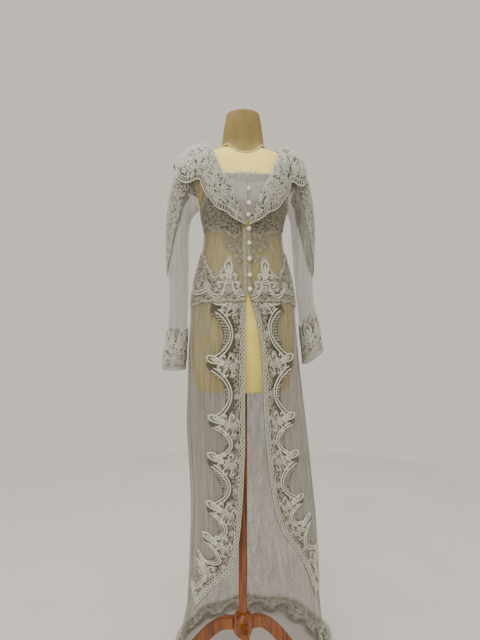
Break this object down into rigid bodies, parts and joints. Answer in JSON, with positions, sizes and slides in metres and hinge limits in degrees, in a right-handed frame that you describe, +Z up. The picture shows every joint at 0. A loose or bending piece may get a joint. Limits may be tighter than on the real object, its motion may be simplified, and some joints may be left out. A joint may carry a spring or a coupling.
{
  "type": "kebaya blouse on dress form",
  "caption": "Long sheer kebaya blouse with lace bands, rolled lace collar, pearl buttons and a floor train, on a limbless dress form with a wooden tripod.",
  "frame": {"origin": "on the floor under the middle of the box round the whole part", "axes": "+Z up, front of the garment towards -Y, the wearer's left towards +X"},
  "size_m": [0.594, 0.698, 1.777],
  "materials": {
    "net": "sheer matt net, silver grey",
    "lace": "corded and beaded lace, soft sheen",
    "inset": "pleated sheer cloth, matt",
    "pearl": "pearly",
    "jersey": "smooth stretched jersey cover, matt",
    "wood": "varnished, orange brown"
  },
  "bodies": {
    "root": {"front_right": "net", "front_left": "net", "back_panel": "net", "sleeve_right": "net", "sleeve_left": "net", "bodice_lace_right": "lace", "bodice_lace_left": "lace", "bodice_lace_back": "lace", "hip_lace_right": "lace", "hip_lace_left": "lace", "hip_lace_back": "lace", "border_lace_right": "lace", "border_lace_left": "lace", "train_lace": "lace", "sleeve_lace_right": "lace", "sleeve_lace_left": "lace", "cuff_lace_right": "lace", "cuff_lace_left": "lace", "placket_right": "lace", "placket_left": "lace", "collar_right": "lace", "collar_left": "lace", "chest_inset_right": "inset", "chest_inset_left": "inset", "pearl_button_1": "pearl", "pearl_button_2": "pearl", "pearl_button_3": "pearl", "pearl_button_4": "pearl", "pearl_button_5": "pearl", "pearl_button_6": "pearl", "pearl_button_7": "pearl", "pearl_button_8": "pearl", "form_torso": "jersey", "neck_block": "jersey", "stand_pole": "wood", "stand_hub": "wood", "stand_leg_1": "wood", "stand_leg_2": "wood", "stand_leg_3": "wood"}
  },
  "joints": []
}
